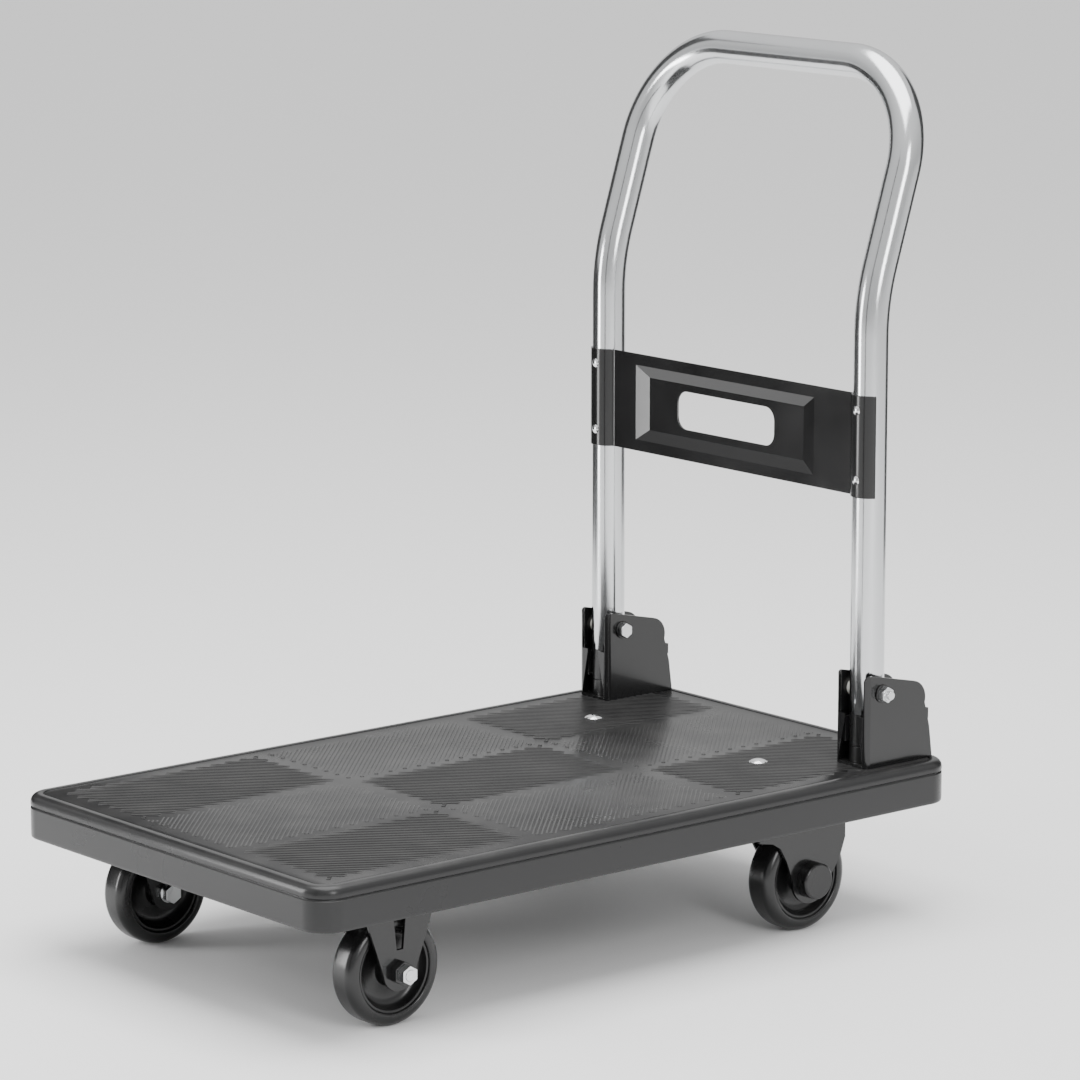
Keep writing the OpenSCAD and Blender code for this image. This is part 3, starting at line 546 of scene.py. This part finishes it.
@dataclass
class Deck:
    """The moulded deck: a lofted shell, its tread, and the ribs and bosses below.

    Sizes are in metres. The tread is a chequer of cells. Each cell has diagonal strips of
    narrow ribs, and the dark and the light cells run on opposite diagonals. The dark cells' ribs
    and the dots carry painted shade: a much darker base colour in place of the darker reflection
    that the ribs pick up. A rib's pair of numbers is its share of the pitch and its height.
    """

    wardrobe: Wardrobe
    bars: BarField
    plate: float = 0.005
    wall: float = 0.004
    corner: float = 0.026
    least_corner: float = 0.003
    edge: float = 0.0075
    rim: float = 0.0035
    bead: float = 0.0030
    groove_w: float = 0.0022
    groove_d: float = 0.0014
    overlap: float = 0.0004
    margin: float = 0.022
    gap_x: float = 0.005
    gap_y: float = 0.008
    rows: int = 3
    strip: float = 0.01180
    shortest_strip: float = 0.3
    end_gap: float = 0.002
    lines_dark: int = 2
    lines_light: int = 3
    rib_dark: tuple[float, float] = (0.66, 0.0006)
    rib_light: tuple[float, float] = (0.42, 0.0003)
    dot: tuple[float, float, float] = (0.0042, 0.0042, 0.0004)
    under_ribs: tuple[int, int] = (7, 12)
    under_rib_t: float = 0.0025
    under_rib_lift: float = 0.010
    shortest_rib: float = 0.002
    room: float = 0.004
    boss_d: float = 0.018
    boss_drop: float = 0.017
    low: Vector = field(init=False)
    high: Vector = field(init=False)
    mid_y: float = field(init=False)
    wide: float = field(init=False)
    long: float = field(init=False)

    def __post_init__(self) -> None:
        """Reads the deck's box."""
        low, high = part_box("deck")
        self.low, self.high = Vector(low), Vector(high)
        self.mid_y = (self.low.y + self.high.y) / 2
        self.wide = self.high.x - self.low.x
        self.long = self.high.y - self.low.y

    def ring(self, inset: float, z: float) -> list[Point]:
        """Makes one ring of the shell.

        Args:
            inset: distance inwards from the deck's outline.
            z: its height.

        Returns:
            The ring's points.
        """
        r = max(self.corner - inset, self.least_corner)
        outline = round_rect(self.wide - 2 * inset, self.long - 2 * inset, r)
        return [(x, y + self.mid_y, z) for x, y in outline]

    def shell(self) -> bpy.types.Object:
        """Lofts the deck's skin: skirt, rolled rim, a fine groove inside it and the load surface.

        Returns:
            The shell.
        """
        top, bottom, wall = self.high.z, self.low.z, self.wall
        lower_edge = [(wall, top - self.plate), (wall, bottom + 0.0008), (wall - 0.0008, bottom),
                      (0.0010, bottom), (0.0002, bottom + 0.0008), (0.0, bottom + 0.003)]
        under = top - self.edge - self.bead
        line_below_rim = [(0.0, under - 0.0022), (0.0009, under - 0.0014), (0.0012, under - 0.0008),
                          (0.0009, under - 0.0002), (0.0001, under + 0.0004), (0.0, under + 0.0012)]
        rolled = [(self.edge - x, z + top - self.edge) for x, z in arc(0, 0, self.edge, 0, 90, 12)]
        inner, width, depth = self.edge + self.rim, self.groove_w, self.groove_d
        groove = [(inner + x, top + z) for x, z in (
            (0.0, 0.0), (0.0004, -0.0003), (0.0007, -depth), (width - 0.0007, -depth),
            (width - 0.0004, -0.0007), (width, -0.0004))]
        section = lower_edge + line_below_rim + rolled + groove
        verts, faces = loft([self.ring(inset, z) for inset, z in section])
        return new_object("deck_shell", verts, faces, self.wardrobe.material(Look.DECK), 40.0)

    def cells(self) -> Iterable[tuple[bool, float, float, float, float]]:
        """Places the cells of the tread.

        Returns:
            For each cell: dark or not, centre x, centre y, half width and half length.
        """
        cell_w = (self.wide - 2 * self.margin) / self.rows
        cell_l = (self.long - 2 * self.margin) / self.rows
        for i in range(self.rows):
            for j in range(self.rows):
                dark = (i + j) % 2 == 0
                cx = self.low.x + self.margin + (i + 0.5) * cell_w
                cy = self.low.y + self.margin + (j + 0.5) * cell_l
                yield dark, cx, cy, cell_w / 2 - self.gap_x, cell_l / 2 - self.gap_y

    def strips(self, a: float, b: float) -> Iterable[tuple[float, float, float]]:
        """Places the diagonal strips of a cell, in the cell's own axes.

        Args:
            a: half width of the cell.
            b: half length of the cell.

        Returns:
            For each strip: the x of its start, the x of its end and its offset.
        """
        step = self.strip * math.sqrt(2)
        count = int((a + b) / step)
        for i in range(-count, count + 1):
            c = i * step
            start, end = max(-a, c - b), min(a, c + b)
            if end - start > self.shortest_strip * self.strip:
                yield start, end, c

    def tread(self) -> tuple[list[Bar], list[Bar], list[Bar]]:
        """Works out the tread: dark ribs, light ribs, and a dot at the foot of each light strip.

        Returns:
            The dark bars, the light bars and the dots.
        """
        z = self.high.z - self.overlap
        dark_bars: list[Bar] = []
        light_bars: list[Bar] = []
        dots: list[Bar] = []
        for dark, cx, cy, a, b in self.cells():
            made = dark_bars if dark else light_bars
            lines = self.lines_dark if dark else self.lines_light
            share, height = self.rib_dark if dark else self.rib_light
            pitch = self.strip / lines
            flip = 1.0 if dark else -1.0
            for start, end, c in self.strips(a, b):
                length = (end - start) / HALF_DIAGONAL - self.end_gap
                mx = (start + end) / 2
                for k in range(lines):
                    across = (k - (lines - 1) / 2) * pitch
                    x, y = mx + across * HALF_DIAGONAL, mx - c - across * HALF_DIAGONAL
                    made.append(Bar((cx + flip * x, cy + y, z), (length, pitch * share, height),
                                    flip * math.pi / 4))
                if not dark:
                    dots.append(Bar((cx - start, cy + start - c, z), self.dot))
        return dark_bars, light_bars, dots

    def ribs(self) -> list[Bar]:
        """Works out the ribs under the load surface, cut short at the casters' rooms.

        Returns:
            The bars.
        """
        foot = self.low.z + self.under_rib_lift
        tall = self.high.z - self.plate + self.overlap - foot
        thick, gap = self.under_rib_t, self.room
        rooms = []
        for kind in ("rigid_fork", "swivel_plate", "backing_plate"):
            for side in ("left", "right"):
                low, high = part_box(f"{kind}_{side}")
                rooms.append((low[0] - gap, high[0] + gap, low[1] - gap, high[1] + gap))
        made: list[Bar] = []
        lengthwise, crosswise = self.under_ribs
        for along, count, span, across in (
                (True, lengthwise, self.wide, self.long), (False, crosswise, self.long, self.wide)):
            for i in range(1, count + 1):
                line = -span / 2 + i * span / (count + 1) + (0.0 if along else self.mid_y)
                mid = self.mid_y if along else 0.0
                spans = [(mid - across / 2 + self.wall, mid + across / 2 - self.wall)]
                for x0, x1, y0, y1 in rooms:
                    lo, hi, r0, r1 = (x0, x1, y0, y1) if along else (y0, y1, x0, x1)
                    if lo < line < hi:
                        spans = [part for s0, s1 in spans
                                 for part in ((s0, min(s1, r0)), (max(s0, r1), s1))
                                 if part[1] - part[0] > self.shortest_rib]
                for s0, s1 in spans:
                    middle = (s0 + s1) / 2
                    at = (line, middle, foot) if along else (middle, line, foot)
                    size = (thick, s1 - s0, tall) if along else (s1 - s0, thick, tall)
                    made.append(Bar(at, size))
        return made

    def bosses(self) -> list[Bar]:
        """Works out the screw bosses under the load surface, round the casters' inserts.

        Returns:
            The studs.
        """
        foot = self.high.z - self.boss_drop
        size = (self.boss_d, self.boss_d, self.high.z - self.plate + self.overlap - foot)
        return [Bar((x, y, foot), size) for x, y in islands(frame["nodes"]["caster_inserts"])]

    def build(self) -> None:
        """Builds the deck's pieces and hands them over."""
        # The tread finish is painted shade: a darker base for the dark ribs and the dots, in place of
        # the darker reflection of those ribs.
        deck, tread = self.wardrobe.material(Look.DECK), self.wardrobe.material(Look.TREAD)
        hand_over(self.shell(), "frame", "deck_plastic", "deck")
        dark_bars, light_bars, dots = self.tread()
        for name, bars, material, sides, taper in (
                ("tread_dark", dark_bars, tread, 4, 0.82),
                ("tread_light", light_bars, deck, 4, 0.8),
                ("tread_dots", dots, tread, 10, 0.8),
                ("deck_ribs", self.ribs(), deck, 4, 1.0),
                ("deck_bosses", self.bosses(), deck, 24, 1.0)):
            piece = self.bars.lay(name, bars, material, sides, taper)
            hand_over(piece, "frame", "deck_plastic")


def islands(node: bpy.types.Object) -> list[tuple[float, float]]:
    """Finds the middle (x, y) of each separate solid of a CAD node.

    Args:
        node: the CAD node's object.

    Returns:
        One point for each solid, in a fixed order.
    """
    body = bmesh.new()
    body.from_mesh(node.data)
    bmesh.ops.remove_doubles(body, verts=body.verts, dist=WELD)
    left = set(body.verts)
    found = []
    while left:
        group, todo = [], [left.pop()]
        while todo:
            vert = todo.pop()
            group.append(vert.co.copy())
            for edge in vert.link_edges:
                other = edge.other_vert(vert)
                if other in left:
                    left.remove(other)
                    todo.append(other)
        low = [min(co[i] for co in group) for i in (0, 1)]
        high = [max(co[i] for co in group) for i in (0, 1)]
        found.append(((low[0] + high[0]) / 2, (low[1] + high[1]) / 2))
    body.free()
    return sorted(found)


# ---------------------------------------------------------------- handle


@dataclass
class Handle:
    """The bent tube and the grip panel wrapped round its legs, in metres and degrees."""

    wardrobe: Wardrobe
    radius: float = 0.016
    wall: float = 0.0015
    lean_deg: float = 17.6
    bend_r: float = 0.210
    top_r: float = 0.097
    bend_z: float = 0.581
    lip: float = 0.0004
    sheet: float = 0.0015
    slack: float = 0.00002
    stand_off: float = 0.0004
    wrap_deg: float = 65.0
    fillet: float = 0.0045
    dish: float = 0.003
    field_x: float = -0.009
    field_w: float = 0.252
    field_h: float = 0.073
    slope_w: float = 0.017
    slope_h: float = 0.011
    hole_w: float = 0.136
    hole_h: float = 0.037
    hole_r: float = 0.0125
    hole_steps: int = 8
    soft: float = 0.00045
    low: Vector = field(init=False)
    high: Vector = field(init=False)
    leg_x: float = field(init=False)
    leg_y: float = field(init=False)

    def __post_init__(self) -> None:
        """Reads the tube's box."""
        low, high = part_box("handle_tube")
        self.low, self.high = Vector(low), Vector(high)
        self.leg_x = self.high.x - self.radius
        self.leg_y = self.low.y + self.radius

    def path(self) -> list[Vector]:
        """Centre line of the tube, from the left foot over the top to the right foot.

        Returns:
            The points, closer together in the bends.
        """
        lean = math.radians(self.lean_deg)
        straight = self.bend_z - self.bend_r * math.tan(lean / 2)
        y1 = self.leg_y + self.bend_r * (1 - math.cos(lean))
        z1 = straight + self.bend_r * math.sin(lean)
        back = Vector((0, math.sin(lean), math.cos(lean)))
        top = self.high.z - self.radius
        length = (top - z1) / math.cos(lean)
        half: list[Vector] = [Vector((self.leg_x, self.leg_y, z))
                              for z in np.linspace(self.low.z, straight, 9)]
        for a in np.linspace(0, lean, 25)[1:]:
            half.append(Vector((self.leg_x, self.leg_y + self.bend_r * (1 - math.cos(a)),
                                straight + self.bend_r * math.sin(a))))
        start = Vector((self.leg_x, y1, z1))
        run = length - self.top_r
        half += [start + back * run * t for t in np.linspace(0, 1, 6)[1:]]
        corner = start + back * run
        for a in np.linspace(0, math.pi / 2, 33)[1:]:
            half.append(corner + Vector((-self.top_r * (1 - math.cos(a)), 0, 0))
                        + back * self.top_r * math.sin(a))
        mirrored = [Vector((-p.x, p.y, p.z)) for p in half]
        return mirrored + half[::-1]

    def tube(self, sides: int = 56) -> bpy.types.Object:
        """Sweeps the tube along its centre line, hollow, with its two ends open.

        Args:
            sides: steps round the tube.

        Returns:
            The tube.
        """
        path = self.path()
        turns = [2 * math.pi * k / sides for k in range(sides)]
        frames = []
        side = Vector((0, 1, 0))
        for i, p in enumerate(path):
            ahead = (path[min(i + 1, len(path) - 1)] - path[max(i - 1, 0)]).normalized()
            side = (side - ahead * side.dot(ahead)).normalized()
            frames.append((p, side.copy(), ahead.cross(side)))

        def ring(at: tuple, r: float) -> list[Point]:
            """One ring of the tube."""
            p, u, v = at
            return [tuple(p + r * (math.cos(t) * u + math.sin(t) * v)) for t in turns]

        rings = [ring(f, self.radius) for f in frames[1:-1]]
        ends = []
        for f, inward in ((frames[0], frames[1]), (frames[-1], frames[-2])):
            toward = (inward[0] - f[0]).normalized()
            outer = (f[0] + toward * self.lip, f[1], f[2])
            ends.append([ring(outer, self.radius), ring(f, self.radius - self.lip)])
        inner = [ring(f, self.radius - self.wall) for f in frames]
        skin = [ends[0][1], ends[0][0], *rings, ends[1][0], ends[1][1], *inner[::-1]]
        verts, faces = loft(skin, closed=True)
        return new_object("handle_loop", verts, faces, self.wardrobe.material(Look.TUBE), 50.0)

    def plan(self, flat: float) -> Loop:
        """Plan of the panel's outer face on the right: round the leg, through a fillet, to the flat.

        Args:
            flat: the flat sheet's depth from the legs' line.

        Returns:
            The points from the outer end inwards, with their depth from the legs' line.
        """
        r, f = self.radius + self.sheet + self.slack, self.fillet
        reach = math.sqrt((r + f) ** 2 - (flat - f) ** 2)
        meet = math.degrees(math.atan2(flat - f, -reach))
        points = arc(self.leg_x, 0, r, self.wrap_deg - 90, meet, 40)
        return points + arc(self.leg_x - reach, flat - f, f, meet + 180, 90, 14)[1:]

    def panel(self) -> bpy.types.Object:
        """Builds the grip panel: a sheet with a pressed field and a hand hole, round both legs.

        Returns:
            The panel.
        """
        low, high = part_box("handle_panel")
        mid, tall = (low[2] + high[2]) / 2, high[2] - low[2]
        flat = -(self.radius + self.sheet) * math.cos(math.radians(self.wrap_deg)) - self.stand_off
        plan = self.plan(flat)
        edge, corner = plan[-1][0], self.hole_steps + 1
        hole = round_rect(self.hole_w, self.hole_h, self.hole_r, self.hole_steps)
        # each point of the hole's outline gets a partner on the rim of a unit square
        square: Loop = []
        for quarter in range(4):
            turn = hole[quarter * corner:(quarter + 1) * corner]
            mx, mz = turn[corner // 2]
            for k, (x, z) in enumerate(turn):
                upright = (k < corner // 2) == (quarter % 2 == 0)
                square.append((math.copysign(1, mx), z / abs(mz)) if upright
                              else (x / abs(mx), math.copysign(1, mz)))
            square[-corner + corner // 2] = (math.copysign(1, mx), math.copysign(1, mz))
        n = len(square)
        half_w, half_h = self.field_w / 2, self.field_h / 2
        rings = [[(u * edge, flat, v * tall / 2) for u, v in square],
                 [(self.field_x + u * half_w, flat, v * half_h) for u, v in square],
                 [(self.field_x + u * (half_w - self.slope_w), flat + self.dish,
                   v * (half_h - self.slope_h)) for u, v in square],
                 [(self.field_x + x, flat + self.dish, z) for x, z in hole]]
        verts = [(x, self.leg_y + y, mid + z) for ring in rings for x, y, z in ring]
        faces = [(a + k, a + (k + 1) % n, a + n + (k + 1) % n, a + n + k)
                 for a in (0, n, 2 * n) for k in range(n)]
        levels = sorted({round(v, 9) for u, v in square if u == 1})
        for sign in (1, -1):
            first = len(verts)
            verts += [(sign * x, self.leg_y + y, mid + v * tall / 2) for x, y in plan for v in levels]
            m = len(levels)
            corners = [first + i * m + j for i in range(len(plan) - 1) for j in range(m - 1)]
            faces += [(c, c + 1, c + m + 1, c + m) for c in corners]
        piece = new_object("grip_panel", verts, faces, self.wardrobe.material(Look.ENAMEL))
        if sum(face.normal.y * face.area for face in piece.data.polygons) > 0:
            piece.data.flip_normals()
        solid = piece.modifiers.new("sheet", "SOLIDIFY")
        solid.thickness = self.sheet
        solid.offset = -1
        bevel = piece.modifiers.new("soft_edges", "BEVEL")
        bevel.width = self.soft
        bevel.segments = 3
        bevel.limit_method = "ANGLE"
        bevel.angle_limit = math.radians(40)
        settle(piece)
        smooth(piece.data, 9.0)
        return piece

    def build(self) -> None:
        """Builds the handle's pieces and hands them over."""
        hand_over(self.tube(), "handle", "chrome_tube", "handle_tube")
        hand_over(self.panel(), "handle", "black_enamel", "handle_panel")


# ---------------------------------------------------------------- wheels


@dataclass
class Wheel:
    """One caster wheel: a round-shouldered tyre on a dished core, in metres."""

    wardrobe: Wardrobe
    place: str
    shoulder: float = 0.0085
    core: float = 0.038
    core_half: float = 0.0122
    segments: int = 96

    def turned(self, name: str, half_section: Loop, centre: Point, look: Look,
               sharp_deg: float) -> bpy.types.Object:
        """Turns a section that is the same on both sides about the axle.

        Args:
            name: the piece's name.
            half_section: (radius, along) on the right-hand side of the wheel.
            centre: the wheel's middle.
            look: the piece's finish.
            sharp_deg: edges above this angle stay sharp.

        Returns:
            The piece.
        """
        section = half_section + [(radius, -x) for radius, x in reversed(half_section)]
        verts, faces = lathe(section, centre, self.segments)
        return new_object(name, verts, faces, self.wardrobe.material(look), sharp_deg)

    def build(self) -> None:
        """Builds the wheel's pieces and hands them over."""
        low, high = (Vector(c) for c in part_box(f"tyre_{self.place}"))
        centre = tuple((low + high) / 2)
        r, half, s = (high.z - low.z) / 2, (high.x - low.x) / 2, self.shoulder
        body = f"wheel_{self.place}"
        bead = [(self.core, half - 0.0022), (self.core + 0.0008, half - 0.0004),
                (self.core + 0.002, half)]
        tread = arc(r - s, half - s, s, 90, 0, 12)
        tyre = self.turned(f"tyre_{self.place}_round", bead + tread, centre, Look.TYRE, 50.0)
        hand_over(tyre, body, "tyre", f"tyre_{self.place}")
        hub = [(0.008, 0.0155), (0.0122, 0.0155), (0.013, 0.0148), (0.0138, 0.0075),
               (0.0152, 0.0048), (0.018, 0.0036)]
        web = [(0.026, 0.0034), (0.0305, 0.0042)]
        dish = [(0.0330, 0.0064), (0.0347, 0.0096), (0.0356, 0.0126), (0.0364, 0.0130),
                (0.0378, 0.0128), (self.core, self.core_half)]
        core = self.turned(f"wheel_core_{self.place}_dished", hub + web + dish, centre,
                           Look.PLASTIC, 38.0)
        hand_over(core, body, "black_plastic", f"wheel_core_{self.place}")


# ---------------------------------------------------------------- plain parts


@dataclass
class PlainParts:
    """CAD pieces whose shape is right: each gets softened edges, smooth shading and its finish, save
    the ones kept as they are, which get only their finish.
    """

    wardrobe: Wardrobe
    edge: float = 0.0005
    fine: float = 0.00025
    as_they_are: tuple[str, ...] = ("lock_spring", "swivel_balls")
    small: tuple[str, ...] = ("panel_rivets", "lock_pins", "deck_bolts")

    def soften(self, node: str, width: float) -> bpy.types.Object:
        """Copies a CAD node, merges it and rounds its sharp edges.

        Args:
            node: the CAD node's name.
            width: width of the rounding in metres.

        Returns:
            The softened copy.
        """
        mesh = frame["nodes"][node].data.copy()
        mesh.name = f"{node}_soft"
        body = bmesh.new()
        body.from_mesh(mesh)
        bmesh.ops.remove_doubles(body, verts=body.verts, dist=CAD_WELD)
        bmesh.ops.dissolve_limit(body, angle_limit=math.radians(0.6),
                                 use_dissolve_boundaries=False, verts=body.verts, edges=body.edges)
        bmesh.ops.recalc_face_normals(body, faces=body.faces)
        body.to_mesh(mesh)
        body.free()
        mesh.materials.clear()
        mesh.materials.append(self.wardrobe.material(self.wardrobe.look_of(node)))
        piece = bpy.data.objects.new(f"{node}_soft", mesh)
        bpy.context.scene.collection.objects.link(piece)
        bevel = piece.modifiers.new("soft_edges", "BEVEL")
        bevel.width = width
        bevel.segments = 2
        bevel.limit_method = "ANGLE"
        bevel.angle_limit = math.radians(32)
        bevel.use_clamp_overlap = True
        mesh.shade_smooth()
        weigh = piece.modifiers.new("flat_faces", "WEIGHTED_NORMAL")
        weigh.mode = "FACE_AREA"
        weigh.keep_sharp = False
        return settle(piece)

    def build(self, done: set[str]) -> None:
        """Softens every CAD node that no other class has replaced, save the ones kept as they are,
        which only get their finish.

        Args:
            done: the nodes already replaced.
        """
        for node, thing in sorted(frame["nodes"].items()):
            if node in done:
                continue
            if node.startswith(self.as_they_are):
                thing.data.materials.clear()
                thing.data.materials.append(self.wardrobe.material(self.wardrobe.look_of(node)))
                LOG.info("%s keeps its own mesh", node)
                continue
            piece = self.soften(node, self.fine if node.startswith(self.small) else self.edge)
            hand_over(piece, thing["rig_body"], self.wardrobe.slots[node], node)


# ---------------------------------------------------------------- studio


@dataclass
class Studio:
    """Pale floor, soft lights, dark cards for the reflections, and the camera."""

    camera_at: Point = (3.3831, -2.7624, 1.2163)
    turn_deg: float = 50.24
    pitch_deg: float = 11.0
    lens: float = 162.68
    sensor: float = 36.0
    reach: float = 60.0
    floor_half: float = 14.0
    floor_tone: float = 0.93
    card_tone: float = 0.04
    middle: Point = (0.0, 0.0, 0.3)
    handle_middle: Point = (0.0, 0.29, 0.45)

    def camera(self) -> None:
        """Places the camera."""
        data = bpy.data.cameras.new("view")
        data.lens = self.lens
        data.sensor_width = self.sensor
        data.clip_end = self.reach
        eye = bpy.data.objects.new("view", data)
        eye.location = self.camera_at
        eye.rotation_euler = (math.radians(90 - self.pitch_deg), 0, math.radians(self.turn_deg))
        bpy.context.scene.collection.objects.link(eye)
        bpy.context.scene.camera = eye

    def lamp(self, name: str, power: float, size: tuple[float, float], at: Point, to: Point) -> None:
        """Adds a soft area light.

        Args:
            name: the light's name.
            power: its power in watts.
            size: its width and height in metres.
            at: where it stands.
            to: the point that it faces.
        """
        data = bpy.data.lights.new(name, "AREA")
        data.shape = "RECTANGLE"
        data.size, data.size_y = size
        data.energy = power
        lamp = bpy.data.objects.new(name, data)
        lamp.location = at
        lamp.rotation_euler = (Vector(to) - Vector(at)).to_track_quat("-Z", "Y").to_euler()
        bpy.context.scene.collection.objects.link(lamp)

    def world(self) -> None:
        """Makes a pale surround, a little dimmer low down than overhead."""
        world = bpy.data.worlds.new("studio")
        world.use_nodes = True
        bpy.context.scene.world = world
        tree = world.node_tree
        tree.nodes.clear()
        canvas = Canvas(tree)
        where = canvas.add("ShaderNodeTexCoord").outputs["Generated"]
        height = canvas.add("ShaderNodeSeparateXYZ", {0: where}).outputs["Z"]
        strength = canvas.add("ShaderNodeMapRange", {
            "Value": height, "From Min": 0.05, "From Max": 0.7,
            "To Min": 0.75, "To Max": 1.15}, interpolation_type="SMOOTHSTEP")
        surround = canvas.add("ShaderNodeBackground", {
            "Color": (1.0, 1.0, 1.0, 1.0), "Strength": strength.outputs[0]})
        out = canvas.add("ShaderNodeOutputWorld")
        canvas.link(surround.outputs[0], out.inputs["Surface"])

    def sheet(self, name: str, corners: Sequence[Point], tone: float,
              roughness: float) -> bpy.types.Object:
        """Makes a flat matte sheet of the studio.

        Args:
            name: the sheet's name.
            corners: its four corners in order.
            tone: its grey.
            roughness: its roughness.

        Returns:
            The sheet.
        """
        material = bpy.data.materials.new(f"{name}_matte")
        material.use_nodes = True
        shader = material.node_tree.nodes["Principled BSDF"]
        shader.inputs["Base Color"].default_value = (tone, tone, tone, 1.0)
        shader.inputs["Roughness"].default_value = roughness
        shader.inputs["Specular IOR Level"].default_value = 0.1
        mesh = bpy.data.meshes.new(name)
        mesh.from_pydata(list(corners), [], [(0, 1, 2, 3)])
        mesh.materials.append(material)
        made = bpy.data.objects.new(name, mesh)
        bpy.context.scene.collection.objects.link(made)
        return made

    def cards(self) -> None:
        """Stands dark cards out of view, for the dark lines on polished tube and gloss black."""
        for name, azimuth, away, width, height in (
                ("card_behind_right", 86.0, 1.7, 1.15, 1.9),
                ("card_behind_left", 190.0, 1.7, 1.15, 1.9),
                ("card_front_left", 219.0, 1.6, 0.72, 0.62),
                ("card_front", -74.0, 1.5, 0.16, 1.5)):
            turn = math.radians(azimuth)
            ahead = Vector((math.cos(turn), math.sin(turn), 0.0))
            side = Vector((-ahead.y, ahead.x, 0.0)) * width / 2
            foot = Vector((0.0, self.handle_middle[1], 0.0)) + ahead * away
            up = Vector((0.0, 0.0, height))
            corners = [tuple(p) for p in (
                foot - side, foot + side, foot + side + up, foot - side + up)]
            card = self.sheet(name, corners, self.card_tone, 0.9)
            card.visible_camera = card.visible_shadow = card.visible_diffuse = False

    def floor(self) -> None:
        """Lays a plain pale floor."""
        span = self.floor_half
        corners = [(-span, -span, 0), (span, -span, 0), (span, span, 0), (-span, span, 0)]
        self.sheet("floor", corners, self.floor_tone, 0.6)

    def build(self) -> None:
        """Sets the whole studio."""
        self.camera()
        self.world()
        self.floor()
        self.cards()
        self.lamp("overhead", 120.0, (2.8, 2.8), (0.1, 0.0, 3.0), self.middle)
        self.lamp("key", 34.0, (0.8, 1.6), (2.9, -0.6, 1.5), self.middle)
        self.lamp("end_strip", 13.0, (0.36, 0.9), (-0.86, -1.36, 0.5), self.handle_middle)


def main() -> None:
    """Builds the cart and its studio."""
    logging.basicConfig(level=logging.INFO, format="%(message)s")
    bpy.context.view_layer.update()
    Studio().build()
    wardrobe = Wardrobe()
    bars = BarField()
    Deck(wardrobe, bars).build()
    Handle(wardrobe).build()
    places = [f"{end}_{side}" for end in ("front", "rear") for side in ("left", "right")]
    for place in places:
        Wheel(wardrobe, place).build()
    done = {"deck", "handle_tube", "handle_panel"}
    done |= {f"{part}_{place}" for part in ("tyre", "wheel_core") for place in places}
    PlainParts(wardrobe).build(done)


if __name__ == "__main__":
    main()
